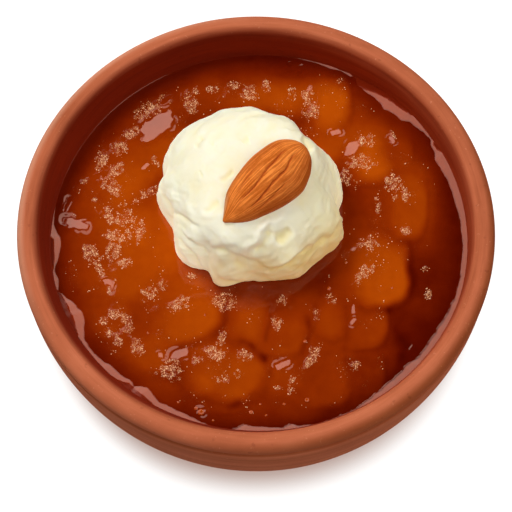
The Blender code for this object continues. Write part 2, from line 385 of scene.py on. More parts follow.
def wallInside(height):
    curve, base, floorRadius = bowl["hollowCurve"], bowl["floorThickness"], bowl["floorRadius"]
    if height >= curve:
        return wallOutside(height) - bowl["thickness"]
    share = (curve - height) / (curve - base)
    reach = wallOutside(curve) - bowl["thickness"] - floorRadius
    return floorRadius + reach * math.sqrt(max(0, 1 - share ** 2))


def arc(middle, halves, start, end, steps):
    angles = [start + (end - start) * i / steps for i in range(steps + 1)]
    return [(middle[0] + halves[0] * math.cos(a), middle[1] + halves[1] * math.sin(a)) for a in angles]


def hollowProfile(top, gap, straightSteps):
    steps = bowl["hollowSteps"]
    base, curve = bowl["floorThickness"], bowl["hollowCurve"]
    points = [(bowl["floorRadius"] * i / 8, base + gap) for i in range(8)]
    for i in range(steps + 1):
        share = math.cos(math.pi / 2 * i / steps)
        height = curve - share * (curve - base)
        points.append((wallInside(height) - gap, height + gap * share))
    for i in range(1, straightSteps + 1):
        height = curve + (top - curve) * i / straightSteps
        points.append((wallInside(height) - gap, height))
    return points


def bowlProfile():
    lipMiddle = (bowl["rimRadius"] - bowl["lipHalf"][0], bowl["height"] - bowl["lipHalf"][1])
    topRadius, topHeight = bowl["wallTop"]
    points = hollowProfile(topHeight - 1.0, 0.0, 24)
    points += arc(lipMiddle, bowl["lipHalf"], math.pi, -math.radians(bowl["lipWrap"]), bowl["lipSteps"])
    points.append((topRadius - bowl["undercut"], (points[-1][1] + topHeight) / 2))
    lean, sweep = math.radians(bowl["lean"]), bowl["sweep"]
    points += arc((topRadius - sweep, topHeight), (sweep, sweep), 0, -lean, bowl["wallSteps"])
    foot = (topHeight - sweep * math.sin(lean)) / (1 - math.sin(lean))
    footMiddle = (topRadius - sweep + (sweep - foot) * math.cos(lean), foot)
    points += arc(footMiddle, (foot, foot), -lean, -math.pi / 2, bowl["footSteps"])[1:]
    return points + [(points[-1][0] * share, 0.0) for share in (0.75, 0.5, 0.25, 0.0)]


def terracotta():
    material, wire, where = newMaterial("unglazedTerracotta")
    x, y, z = wire.split(where)
    radius = fromAxis(x, y)
    wayX, wayY = x / radius, y / radius
    # streaks run round the bowl, as a turning hand leaves them
    streaks = wire.noise(wire.vector(wayX * 1.6, wayY * 1.6, z * 420 + radius * 300), 1.0, 4, 0.55)
    fineStreaks = wire.noise(wire.vector(wayX * 5, wayY * 5, z * 1800 + radius * 1500), 1.0, 3, 0.6)
    blotches = wire.noise(where, 45, 4, 0.6)
    grain = wire.noise(where, 2600, 3, 0.6)
    specks = wire.noise(where, 1300, 2).ranged(0.66, 0.74)
    pits = wire.noise(where, 700, 1).ranged(0.3, 0.22)
    shade = streaks * 0.7 + fineStreaks * 0.3 + blotches * 0.45 - 0.25
    clay = shade.ramp((0.3, (0.405, 0.1, 0.04)), (0.5, (0.52, 0.138, 0.06)), (0.72, (0.63, 0.186, 0.088)))
    clay = (specks * 0.35).blend(clay, (0.72, 0.3, 0.17, 1))
    clay = (pits * 0.4).blend(clay, (0.3, 0.07, 0.03, 1))
    # syrup stain and painted shade darken the inner wall: darker on the left, reaching higher at the back and
    # left, lighter on the right
    stainAndShadeReach = radius + (streaks * 0.6 + wayX * 0.45 - wayY * 0.5 - 0.25) * mm
    inside = stainAndShadeReach.over(51.5, 49.3) * z.over(24, 26)
    stainAndShade = wayX.ranged(-0.1, 0.75).blend((0.262, 0.058, 0.001, 1), (0.42, 0.115, 0.006, 1))
    clay = inside.blend(clay, stainAndShade, "MULTIPLY")
    # painted shade in the step under the lip
    step = z.over(35.9, 34.8) * z.over(32.9, 33.9) * radius.over(53.2, 53.7)
    clay = step.blend(clay, (0.7, 0.52, 0.34, 1), "MULTIPLY")
    # painted light on the lip's outer edge: a painted highlight at the back left, painted shade at the front
    # right
    outer = radius.over(52.7, 54.4) * z.over(33.5, 35.5)
    backLeft = wayY * 0.5 - wayX * 0.866
    clay = (backLeft.ranged(0.4, 1.0) * outer * 0.6).blend(clay, (0.84, 0.4, 0.25, 1))
    clay = (backLeft.ranged(-0.15, -0.9) * outer).blend(clay, (0.66, 0.57, 0.42, 1), "MULTIPLY")
    height = grain * 0.35 + fineStreaks * 0.6 + streaks * 0.8 - pits * 0.5
    finishMaterial(wire, clay, {"Specular IOR Level": 0.08}, Roughness=0.66 + blotches * 0.16,
                   Normal=wire.bump(height, 0.35, 0.12))
    return material


def turningTree(material):
    wire, profile, turns, unevenness, ridges = newTree(
        "turnedBowl", Turns="Int", Unevenness="Float", Ridges="Float")
    count = wire.add("GeometryNodeAttributeDomainSize", None, {0: profile})
    size = {"Size X": count - 1, "Size Y": 1.0, "Vertices X": count, "Vertices Y": turns + 1}
    grid = wire.add("GeometryNodeMeshGrid", None, size)
    position = wire.add("GeometryNodeInputPosition")
    along, turn = wire.split(position)[:2]
    row, angle = along + (count - 1) / 2, turn * (2 * math.pi)
    sample = wire.add("GeometryNodeSampleIndex", {"data_type": "FLOAT_VECTOR"},
                      {0: profile, "Value": position, "Index": row.math("ROUND", row)})
    radius, depth, height = wire.split(sample)
    cosine, sine = angle.math("COSINE", angle), angle.math("SINE", angle)
    # the hand's slow wobble, and the faint rings that turning leaves
    wobble = wire.noise(wire.vector(cosine * 1.3, sine * 1.3, height * 22), 1.0, 2) - 0.5
    rings = wire.noise(wire.vector(cosine * 0.5, sine * 0.5, height * 900), 1.0, 2) - 0.5
    fade = height.over(2, 12) * (1 - height.over(36, 40) * 0.6)
    pushed = radius + (wobble * unevenness + rings * ridges) * fade
    hollow = radius.over(51.2, 49.8) * height.over(19, 26) * height.over(36.8, 33)
    shiftX, shiftY = (hollow * (way * mm) for way in bowl["hollowShift"])
    turnedPlace = wire.vector(pushed * cosine + shiftX, pushed * sine + shiftY, height)
    moved = wire.add("GeometryNodeSetPosition", None, {0: grid, "Position": turnedPlace})
    merged = wire.add("GeometryNodeMergeByDistance", None, {0: moved, "Distance": 0.01 * mm})
    return endTree(wire, wire.add("GeometryNodeSetShadeSmooth", None, {0: merged}), material)


outline = [(r * mm, 0.0, z * mm) for r, z in bowlProfile()]
profileMesh = bpy.data.meshes.new("bowlProfile")
profileMesh.from_pydata(outline, [(i, i + 1) for i in range(len(outline) - 1)], [])
carrier = newObject("bowlProfile", profileMesh)
bowlValues = {"Turns": bowl["turns"], "Unevenness": bowl["unevenness"], "Ridges": bowl["ridges"]}
bowlPiece = runTree(carrier, turningTree(terracotta()), bowlValues, "turnedBowl")
bpy.data.objects.remove(carrier)
place(bowlPiece, "bowl", "terracotta")
print("bowl turned", len(bowlPiece.data.polygons))


# stewed apricots

compote = {
    "level": 28.3, "rings": 160, "intoWall": 0.25,
    "warp": 3.0, "squareness": 2.5,  # how far the outlines of the fruit wander, in pixels, and their shape
    # how bright the syrup is between the fruit, and how much painted shade darkens it to the front right and
    # under fruit
    "syrup": 0.325, "shadeAcross": 0.08, "shadowUnderFruit": 0.1, "mottle": (0.05, 0.02),
    "wallShade": 0.43, "shadeWidth": 6.5,  # the share lost to painted shade at the wall, and over how many mm
    "paintedFruitLight": 0.08,  # painted light: how much brighter fruit gets to its lower right
    # how far fruit swells past its edge, the share that shows, and the share added where two overlap
    "swellReach": 1.25, "swellShown": 0.36, "overlap": 0.12,
    "swell": 0.1, "pulpRise": 0.05, "pulpDepth": 0.055, "thinPulp": 0.25, "looseFroth": 0.21,
    "slope": (0.41, 0.03), "bend": 0.06,  # where the syrup climbs the wall, and what the back adds
    "wallRadius": 48, "jagged": (0.18, 0.07), "runOn": 1.1, "calmWidth": 3.6,
    "slipTilt": 11,  # degrees that turn a slip towards the window
    "climbShine": 0.42, "filmShine": 0.28,
}
# each piece of fruit, placed on the photo's 512 pixel frame: middle, half length, half width, turn in
# degrees, how far it swells in mm, how bright it is, and how soft its edge is
fruit = [
    (130, 235, 85, 95, 0, 0, 0.76, 1.3), (245, 97, 100, 20, 0, 0, 0.7, 1), (335, 130, 32, 42, 0, 0, 0.66, 1),
    (398, 190, 42, 62, 15, 0, 0.64, 1), (232, 362, 122, 62, 0, 0, 0.63, 1.1),
    (330, 345, 62, 66, 0, 0, 0.49, 1), (350, 250, 36, 70, 0, 0, 0.55, 0.9), (300, 301, 20, 16, 0, 0, 0.58, 1),
    (455, 255, 22, 60, 0, 0, 0.3, 0.8), (160, 150, 34, 24, 35, 0.9, 0.74, 0.8),
    (122, 180, 36, 26, 45, 0.8, 0.78, 0.8), (162, 228, 30, 50, 0, 1, 0.79, 0.9),
    (118, 228, 34, 28, 0, 0.7, 0.78, 0.8), (92, 262, 24, 32, 0, 0.6, 0.56, 0.8),
    (122, 275, 34, 26, 0, 0.9, 0.72, 0.8), (180, 288, 34, 22, 0, 0.7, 0.72, 0.8),
    (105, 318, 28, 24, 0, 0.7, 0.6, 0.7), (140, 350, 36, 28, -20, 1.4, 0.62, 0.6),
    (185, 318, 40, 26, 20, 1.1, 0.77, 0.5), (150, 388, 36, 16, -30, 0.8, 0.48, 0.7),
    (205, 352, 26, 16, 20, 0.5, 0.66, 0.6), (208, 400, 42, 14, -8, 0.8, 0.42, 0.6),
    (285, 408, 40, 18, 0, 0.6, 0.43, 0.7), (323, 378, 28, 32, 0, 1.2, 0.52, 0.4),
    (228, 373, 38, 30, 165, 1.8, 0.68, 0.45), (247, 320, 24, 26, 0, 1.4, 0.7, 0.6),
    (283, 333, 24, 26, 0, 1.5, 0.6, 0.5), (328, 318, 17, 22, 0, 1.1, 0.64, 0.6),
    (365, 373, 19, 23, 0, 1, 0.4, 0.35), (365, 326, 24, 23, 0, 1.4, 0.58, 0.5),
    (330, 105, 20, 28, 0, 1.1, 0.88, 0.5), (320, 140, 24, 22, 0, 0.7, 0.7, 0.8),
    (372, 152, 24, 32, 0, 1.3, 0.84, 0.5), (396, 150, 18, 24, 0, 0.8, 0.55, 0.6),
    (384, 205, 20, 24, 0, 0.9, 0.5, 0.6), (408, 200, 20, 38, 0, 1.2, 0.68, 0.4),
    (203, 381, 18, 15, 0, 0, 0.76, 0.9), (380, 272, 30, 39, 4, 1.8, 0.8, 0.34),
]
# dark creases between them: how dark, half width in pixels, and the line
creases = [
    (0.2, 5, [(243, 350), (257, 355), (269, 362)]),
    (0.22, 4.5, [(232, 340), (250, 348), (262, 357), (268, 370), (264, 386), (250, 400), (225, 412)]),
    (0.1, 3.5, [(224, 300), (227, 318), (222, 335), (205, 345), (180, 350)]),
    (0.09, 3, [(271, 305), (272, 325), (266, 345)]),
    (0.11, 3.5, [(306, 310), (308, 335), (300, 352), (280, 359), (262, 354)]),
    (0.1, 3, [(317, 300), (316, 320), (312, 338)]),
    (0.07, 3.5, [(345, 312), (343, 328), (347, 345), (365, 352), (385, 350), (390, 335)]),
    (0.13, 3.5, [(350, 306), (370, 309), (388, 311), (402, 302), (410, 285), (409, 262)]),
    (0.06, 4.5, [(346, 352), (348, 375), (342, 400)]),
    (0.16, 7, [(398, 318), (405, 345), (398, 370), (385, 390)]),
]
# the syrup's climb at the wall: direction in degrees, and how far from the wall it ends and starts in mm
climb = [
    (-178, 0.6, 2.7), (-175, 0.6, 2.1), (-172, 0.4, 1.1), (-170, 0.3, 0.7), (-167, 0.1, 1.1),
    (-164, 0.3, 0.5), (-161, 1, 2), (-158, 1.2, 3.4), (-155, 1.2, 4.2), (-152.5, 0.9, 3.6), (-150, 0.5, 2.5),
    (-148, 0.1, 1.5), (-145, 0.1, 1.3), (-141, 0.1, 1.6), (-138, 0.1, 2.1), (-135, 0.3, 2.6),
    (-133, 0.5, 2.6), (-131, 1, 2.7), (-129, 1.7, 2.8), (-127.5, 1.8, 2.5), (-126, 1.5, 3.5),
    (-124, 1.2, 3.9), (-121, 0.9, 3), (-119, 0.4, 2.3), (-116, 0.2, 2.4), (-112, 0.1, 2.4), (-108, 0.1, 2),
    (-105, 0.1, 1.7), (-102, 0.1, 0.8), (-98, 0.1, 1), (-94, 0.1, 2.7), (-90, 0.1, 2.3), (-84, 0.1, 1.9),
    (-81, 0.1, 2.6), (-79, 0.1, 1.8), (-73, 0.1, 1.2), (-62, 0.1, 1.4), (-54, 0.1, 2.2), (-50, 0.1, 2.5),
    (-46, 0.1, 2.4), (-44, 0.1, 2.6), (-42, 0.1, 2.4), (-39, 0.1, 1.9), (-36, 0.1, 1.8), (-32, 0.1, 2),
    (-29, 0.1, 1.9), (-26, 0.1, 1.6), (-23, 0.1, 1.4), (-19, 0.1, 1.2), (-13, 0.1, 1.2), (-8, 0.1, 1.4),
    (-4, 0.1, 1.2), (0, 0.1, 1.4), (3, 0.1, 1.5), (7, 0.1, 1.4), (10, 0.1, 1.7), (13, 0.1, 1.8),
    (19, 0.1, 1.9), (23, 0.2, 2.2), (26, 0.3, 2.5), (28.5, 0.4, 1.4), (30.5, 0.4, 1.3), (32.5, 0.1, 0.4),
    (34.5, 0.1, 0.7), (37.5, 0.2, 1.2), (40.5, 0.3, 1.7), (42.5, 0.5, 3.1), (45.5, 0.8, 2.9), (48.5, 1, 3.6),
    (50.5, 1.1, 3.1), (53.5, 1.3, 2.7), (56.5, 1.6, 2.3), (59.5, 1.8, 1.8), (61, 0.4, 0.4), (63, 0.3, 0.6),
    (66, 0.2, 0.2), (69, 0.3, 0.65), (74, 0.2, 0.2), (77, 0.1, 0.2), (82, 0, 0), (90, 0, 0), (110, 0, 0),
    (119, 0, 0.2), (122, 0, 0.24), (140, 0, 0.22), (163, 0, 0.24), (170, 0, 0.2), (176, 0.2, 0.6),
    (180, 0.3, 2.3),
]
# patches of fine pulp and froth on the photo's frame: middle, half width, half height, turn in degrees
pulp = [
    (114, 189, 13, 6, -45), (148, 194, 12, 5, 20), (109, 218, 4, 10), (127, 218, 10, 12),
    (140, 232, 5, 12, -10), (118, 237, 15, 7), (88, 253, 4, 9, 10), (97, 262, 5, 15, 15), (113, 254, 9, 11),
    (125, 263, 8, 5, 10), (151, 294, 8, 9), (163, 285, 6, 6), (180, 305, 13, 6, 25), (224, 302, 12, 9),
    (191, 277, 5, 5), (104, 322, 5, 6, 30), (114, 315, 7, 4), (127, 319, 5, 7, 20), (128, 330, 5, 5),
    (117, 340, 8, 4, -40), (107, 333, 4, 6, 30), (137, 346, 6, 9, 30), (170, 372, 11, 9), (173, 362, 8, 4),
    (215, 354, 10, 7), (221, 339, 4, 9, -20), (200, 362, 9, 4), (245, 356, 8, 6, 30), (222, 380, 8, 5, 20),
    (238, 375, 4, 4), (307, 95, 6, 5), (310, 110, 9, 11), (293, 94, 5, 5), (365, 141, 9, 6, -20),
    (360, 163, 13, 8, -20), (392, 139, 4, 6, 20), (344, 177, 7, 8), (393, 185, 9, 12, 20), (406, 197, 4, 6),
    (378, 205, 3, 8, 10), (369, 244, 9, 8, 30), (406, 231, 4, 5), (363, 275, 12, 5, 45), (332, 300, 5, 5),
    (317, 315, 3, 5), (282, 300, 7, 4, 30), (277, 325, 5, 7), (280, 344, 3, 2, 30), (313, 356, 14, 5, 60),
    (354, 366, 4, 5), (291, 385, 4, 8, -10), (278, 388, 4, 2), (427, 269, 3, 3), (428, 294, 3, 5),
    (152, 110, 8, 6, 30), (145, 111, 12, 7, 30), (165, 99, 7, 5, 20), (132, 135, 9, 6, 30),
    (120, 148, 7, 8, -20), (101, 163, 5, 9, -20), (117, 170, 10, 6, 10), (110, 185, 8, 8), (191, 106, 8, 7),
    (188, 96, 5, 4), (197, 92, 4, 3), (156, 162, 3, 6, 20), (155, 192, 6, 3, 40), (139, 199, 7, 4, 30),
    (213, 89, 7, 4), (250, 93, 8, 8), (267, 86, 4, 6), (235, 86, 6, 4), (342, 79, 7, 4, -20), (84, 182, 3, 3),
    (94, 201, 3, 3), (112, 287, 9, 3, 60),
]
# flat slips of skin that catch the window: half width in pixels, and the line they lie along
slips = [
    (9, [(151, 131), (162, 121)]), (3.4, [(163, 102), (169, 98)]), (2.2, [(144, 168), (147, 165)]),
    (2.6, [(68, 200), (66, 211), (65, 218)]), (4.4, [(67, 220), (84, 227)]), (3.2, [(106, 281), (112, 284)]),
    (1.6, [(111, 284), (112, 292)]), (4.4, [(174, 355), (184, 353)]), (2.2, [(159, 354), (163, 358)]),
    (2.2, [(353, 306), (354, 314)]), (2.6, [(354, 320), (352, 324)]), (2.8, [(332, 133), (340, 132)]),
    (1.6, [(290, 64), (301, 63)]), (1.4, [(290, 74), (296, 73)]), (1.3, [(303, 73), (307, 71)]),
    (1.3, [(313, 77), (317, 75)]), (5.6, [(350, 150), (353, 147)]), (2.5, [(390, 138), (394, 143)]),
    (3.6, [(278, 366), (288, 363)]), (1.8, [(409, 349), (412, 345)]), (3.6, [(200, 412), (202, 412)]),
]


def turned(u, v, middleU, middleV, halfWidth, halfHeight, turn=0):
    # place within an ellipse on the photo's frame, where 1 is its edge
    angle = math.radians(turn)
    right, up = u - middleU, middleV - v
    return ((right * math.cos(angle) + up * math.sin(angle)) / halfWidth,
            (up * math.cos(angle) - right * math.sin(angle)) / halfHeight)


def compoteTop(x, y, u, v):
    # height of the syrup, how bright the fruit under it is, how much pulp and froth it carries, and where
    # only a dull film is left between the end of a climb and the wall
    warp, square = compote["warp"], compote["squareness"]
    wanderU, wanderV = (way + softNoise(u, v, 24, seed) * warp + softNoise(u, v, 9, seed + 1) * 0.7
                        for way, seed in ((u, 11), (v, 13)))
    fromMiddle = np.hypot(x, y)
    fromWall = wallInside(compote["level"]) - fromMiddle
    # painted shade: the syrup is darker to the front right
    bright = compote["syrup"] - compote["shadeAcross"] * (x - y) / 60
    bright = bright + softNoise(x, y, 5, 15) * compote["mottle"][0]
    rise = np.zeros(len(x))
    for middleU, middleV, halfLength, halfWidth, turn, swell, shine, soft in fruit:
        along, across = turned(wanderU, wanderV, middleU, middleV, halfLength, halfWidth, turn)
        reach = (np.abs(along) ** square + np.abs(across) ** square) ** (1 / square)
        right, down = u - middleU, v - middleV
        lower = smoothStep(right * 0.8 + down * 0.6, -12, 16)
        # painted shadow: a dark line just past the lower right edge of swelling fruit
        if swell:
            bright -= compote["shadowUnderFruit"] * np.exp(-((reach - 1.06) / 0.14) ** 2) * lower * (1 - soft)
        edge = soft * (2.8 - 1.6 * lower)
        cover = smoothStep(1 - reach, -edge * 0.25, edge * 0.6)
        # painted light: fruit is brighter to its lower right
        lit = shine + compote["paintedFruitLight"] * (right * 0.8 + down * 0.3) / 30
        bright += (lit - bright) * cover
        dome = swell * np.maximum(0, 1 - (reach / compote["swellReach"]) ** 2) ** 1.5
        shown = np.maximum(rise, dome * compote["swellShown"])
        rise = shown + compote["overlap"] * np.minimum(rise, dome)
    for dark, halfWidth, line in creases:
        away, share = strokeDistance(wanderU, wanderV, line)
        fade = fadeEnds(share, -0.01, 0.15, 0.85, 1.01) * (0.7 + 0.5 * softNoise(u, v, 9, 27))
        bright -= dark * np.exp(-(away / halfWidth) ** 2) * fade
    rise += (softNoise(x, y, 4.3, 16) + softNoise(x, y, 1.9, 17) * 0.25) * compote["swell"]
    bright += softNoise(x, y, 1.6, 18) * compote["mottle"][1]
    # painted shade towards the wall
    bright *= 1 - compote["wallShade"] * smoothStep(-fromWall, -compote["shadeWidth"], 0)

    froth = compote["looseFroth"] * smoothStep(softNoise(u, v, 14, 28), -0.3, 0.7) * (bright > 0.35)
    ragged = softNoise(u, v, 4, 19) * 0.4 + softNoise(u, v, 2, 29) * 0.15
    for patch in pulp:
        reach = np.hypot(*turned(u, v, *patch)) + ragged
        thick, thin = smoothStep(-reach, -1.12, -0.8), smoothStep(-reach, -2.0, -1.0)
        froth = np.maximum(froth, np.maximum(thick, compote["thinPulp"] * thin))
    froth *= 0.3 + 0.7 * smoothStep(softNoise(u, v, 3.2, 25) + 0.5 * softNoise(u, v, 1.7, 26), -0.45, 0.25)
    grain = softNoise(x, y, 0.52, 20) + 0.6 * softNoise(x, y, 0.9, 21)
    rise += froth * (compote["pulpRise"] + grain * compote["pulpDepth"])

    # the climb at the wall
    direction = np.degrees(np.arctan2(y, x))
    around, *edges = zip(*climb)
    ends, starts = (np.interp(direction, around, edge, period=360) for edge in edges)
    # uneven along the wall only, so that the climb keeps its slope
    wallX, wallY = (compote["wallRadius"] * way(np.radians(direction)) for way in (np.cos, np.sin))
    coarse, fine = compote["jagged"]
    jagged = coarse * softNoise(wallX, wallY, 1.7, 23) + fine * softNoise(wallX, wallY, 0.8, 24)
    starts = starts + jagged * smoothStep(starts - ends, 0.2, 0.5)
    # where it reaches the wall the climb runs on into it, and elsewhere it ends short of it
    reached = smoothStep(-ends, -0.45, -0.1)
    ends = ends + jagged * 0.5 * smoothStep(ends, 0.1, 0.45) - compote["runOn"] * reached
    bend, (slope, slopeBack) = compote["bend"], compote["slope"]
    begun, ended = (np.logaddexp(0, (edge - fromWall) / bend) for edge in (starts, ends))
    climbed = (begun - ended) * bend * (slope + slopeBack * y / np.maximum(1, fromMiddle))
    calm = smoothStep(fromWall - np.maximum(starts, 0.5), -0.1, compote["calmWidth"])
    rise, froth = rise * calm + climbed, froth * calm

    tilt = (x - y) / math.sqrt(2) * math.tan(math.radians(compote["slipTilt"]))
    for halfWidth, line in slips:
        away = np.abs(strokeDistance(u, v, line)[0]) / halfWidth + softNoise(u, v, 5, 22) * 0.3
        level = np.median((rise - tilt)[away < 1])
        rise += (level + tilt - rise) * smoothStep(-away, -2.0, -0.9)
        froth = froth * (1 - smoothStep(-away, -1.4, -0.9))

    film = smoothStep(ends - fromWall, -0.25, 0.1) * smoothStep(ends, 0.1, 0.4)
    bright = bright + (compote["climbShine"] - 0.5 * bright) * smoothStep(climbed, 0.02, 0.3)
    bright = bright + (compote["filmShine"] - bright) * film
    return rise, np.clip(bright, 0, 1), froth, film


def makeCompote(material):
    level, rings = compote["level"], compote["rings"]
    edge = wallInside(level) + compote["intoWall"]
    places, starts, faces = [(0.0, 0.0)], [0], []
    for ring in range(1, rings + 1):
        starts.append(len(places))
        turns = np.arange(6 * ring) / (6 * ring) * 2 * math.pi
        share = ring / rings
        radius = edge * (1 - (1 - share) * (1 - 0.5 * share ** 6))  # closer rings near the wall
        places += zip(radius * np.cos(turns), radius * np.sin(turns))
    x, y = np.array(places).T
    shiftX, shiftY = bowl["hollowShift"]
    flat = np.stack([x + shiftX, y + shiftY, np.full(len(x), level)], 1) * mm
    rise, bright, froth, film = compoteTop(x, y, *inPhoto(flat))
    points = [np.stack([x, y, level + rise], 1)]
    for ring in range(1, rings + 1):
        start, inner = starts[ring], starts[ring - 1]
        count, innerCount = 6 * ring, max(1, 6 * (ring - 1))
        for sector in range(6):
            for step in range(ring):
                a, b = (start + (sector * ring + step + i) % count for i in (0, 1))
                c, d = (inner + (sector * (ring - 1) + step + i) % innerCount for i in (0, 1))
                faces.append((c, a, b))
                if step < ring - 1:
                    faces.append((c, b, d))
    # sides and bottom, out of sight against the bowl
    count = 6 * rings
    angles = np.arange(count) / count * 2 * math.pi
    profile = hollowProfile(level - 0.4, 0.15, 4)[::-1]
    for radius, height in profile[:-1]:
        points.append(np.stack([radius * np.cos(angles), radius * np.sin(angles), np.full(count, height)], 1))
    points.append(np.array([[0, 0, profile[-1][1]]]))
    points = np.concatenate(points)
    faces += wrapFaces(starts[-1], len(profile), count, len(points) - 1)
    points[:, :2] += np.outer(smoothStep(points[:, 2], 19, 26), bowl["hollowShift"])
    spare = (0, len(points) - len(x))
    return newPiece("stewedApricots", points * mm, faces, material, froth=np.pad(froth, spare),
                    bright=np.pad(bright, spare, constant_values=0.3), film=np.pad(film, spare))


def syrupMaterial():
    material, wire, where = newMaterial("apricotSyrup")
    bright, froth, film = wire.attributes("bright", "froth", "film")
    cloud = wire.noise(where, 260, 3, 0.6) - 0.5
    fibres = wire.noise(where, 1500, 3, 0.7) - 0.5
    color = (bright + cloud * 0.1 + fibres * 0.05).ramp(
        (0.0, (0.06, 0.0018, 0.0)), (0.18, (0.105, 0.0042, 0.0)), (0.38, (0.19, 0.013, 0.0002)),
        (0.58, (0.3, 0.03, 0.0004)), (0.78, (0.42, 0.058, 0.0008)), (1.0, (0.58, 0.095, 0.0015)))
    specks = wire.noise(where, 4200, 1, 0.5)
    # pale specks on the froth: its own colour, partly a painted glint
    pale = (froth * 0.16 + specks).ranged(0.66, 0.78) * froth.ranged(0.0, 0.4) * 0.65
    color = pale.blend(color, (0.7, 0.29, 0.1, 1))
    height = froth * wire.noise(where, 3100, 2, 0.6) + wire.noise(where, 420, 2) * 0.07
    finishMaterial(wire, color, {"IOR": 1.45, "Specular Tint": (1.0, 0.62, 0.5, 1)},
                   Roughness=film * 0.32 + 0.05, Normal=wire.bump(height, 0.8, 0.16))
    return material


def frothMaterial():
    material, wire, where = newMaterial("paleFrothWithPaintedGlints")
    # the froth grains' pale colour, partly painted glints
    tone = wire.noise(where, 1500, 2).ranged(0.35, 0.65)
    finishMaterial(wire, tone.blend((0.5, 0.15, 0.03, 1), (1.0, 0.67, 0.4, 1)),
                   {"Roughness": 0.3, "Specular IOR Level": 0.3})
    return material


def frothTree(material):
    wire, surface, density, smallest, largest, seed = newTree(
        "frothGrains", Density="Float", Smallest="Float", Largest="Float", Seed="Int")
    carried = wire.add("GeometryNodeInputNamedAttribute", {"data_type": "FLOAT"}, {"Name": "froth"})
    spots = wire.add("GeometryNodeDistributePointsOnFaces", None,
                     {0: surface, "Density": carried * carried * density, "Seed": seed})
    grain = wire.add("GeometryNodeMeshIcoSphere", None, {"Radius": 1.0, "Subdivisions": 1})
    grain = wire.add("GeometryNodeSetShadeSmooth", None, {0: grain})
    size = wire.add("FunctionNodeRandomValue", {"data_type": "FLOAT"},
                    {2: smallest, 3: largest, "Seed": seed}, out=1)
    turn = wire.add("FunctionNodeRandomValue", {"data_type": "FLOAT_VECTOR"},
                    {0: (0, 0, 0), 1: (6, 6, 6), "Seed": seed})
    grains = {0: spots, "Instance": grain, "Rotation": turn, "Scale": wire.vector(size, size, size)}
    return endTree(wire, wire.add("GeometryNodeInstanceOnPoints", None, grains), material)


def bubbleTree(material):
    wire, places, roundness, flatness = newTree("syrupBubbles", Roundness="Int", Flatness="Float")
    points = wire.add("GeometryNodeMeshToPoints", None, {0: places})
    shape = {"Segments": roundness, "Rings": roundness, "Radius": 1.0}
    ball = wire.add("GeometryNodeMeshUVSphere", None, shape)
    ball = wire.add("GeometryNodeSetShadeSmooth", None, {0: ball})
    size = wire.add("GeometryNodeInputNamedAttribute", {"data_type": "FLOAT"}, {"Name": "size"})
    balls = {0: points, "Instance": ball, "Scale": wire.vector(size, size, size * flatness)}
    return endTree(wire, wire.add("GeometryNodeInstanceOnPoints", None, balls), material)


froth = {"Density": 1.5e7, "Smallest": 0.055 * mm, "Largest": 0.155 * mm, "Seed": 4}
bubble = {"Roundness": 16, "Flatness": 0.6, "scale": 0.95, "lift": 0.3}
# single bubbles on the photo's frame, and their radius in mm
bubbles = [
    (329, 288, 0.5), (305, 341, 0.45), (307, 400, 0.6), (251, 412, 0.55), (201, 412, 0.85), (196, 408, 0.5),
    (266, 415, 0.3), (260, 404, 0.3), (341, 377, 0.3), (284, 404, 0.35), (213, 420, 0.3), (178, 402, 0.3),
    (392, 288, 0.3), (148, 333, 0.35), (205, 315, 0.3), (335, 203, 0.35), (346, 262, 0.4),
]
syrup = syrupMaterial()
compotePiece = makeCompote(syrup)
frothPiece = runTree(compotePiece, frothTree(frothMaterial()), froth, "frothGrains")
place(frothPiece, "stewed_apricots", "apricots_in_syrup")
print("froth grains", len(frothPiece.data.polygons))
surface = np.array([vertex.co for vertex in compotePiece.data.vertices if vertex.co.z > 26 * mm])
spots = []
for u, v, radius in bubbles:
    x, y = fromPhoto(u, v, (compote["level"] + bubble["lift"]) * mm)
    nearest = np.argmin(np.hypot(surface[:, 0] - x, surface[:, 1] - y))
    spots.append((x, y, surface[nearest, 2]))
count, sizes = len(bubbles), [row[2] * bubble["scale"] * mm for row in bubbles]
carrier = newPiece("bubblePlaces", spots, [], syrup, size=sizes, bright=[0.75] * count, froth=[0.0] * count)
bubblePiece = runTree(carrier, bubbleTree(syrup), bubble, "syrupBubbles")
bpy.data.objects.remove(carrier)
place(bubblePiece, "stewed_apricots", "apricots_in_syrup")
place(compotePiece, "stewed_apricots", "apricots_in_syrup")
print("stewed apricots laid", len(compotePiece.data.polygons))


# cream

cream = {
    "middle": np.array((-1.2, 9.6, 29.8)), "radius": 20.3, "height": 20.4, "domePower": 2.6,
    "sink": 2.4, "flatness": 0.4, "rows": 230, "turns": 360, "skirt": (94, 75),
    "lumps": 0.2, "ragged": 0.3, "fine": 0.04, "bent": 0.9, "calmBelow": (27.5, 30.0),
    "strokeWander": 1.6, "strokeReach": 60,  # in pixels
    # how far the skirt comes out, every ten degrees
    "reach": (21.4, 21.3, 20.8, 18.6, 16.6, 18.2, 19.4, 18.3, 19.3, 20.7, 20.8, 21.6, 21.0, 21.8, 22.5, 22.5,
              21.9, 20.5, 21.9, 20.6, 19.5, 20.5, 22.0, 22.0, 20.4, 22.7, 21.5, 20.0, 20.6, 21.3, 22.2, 21.8,
              22.1, 23.2, 22.7, 20.5),
}
# where it swells out under the almond: direction and half width, degrees down from the top and half
# height, and mm
bulges = [(250, 45, 48, 26, 1.6), (30, 70, 33, 30, 2.2)]
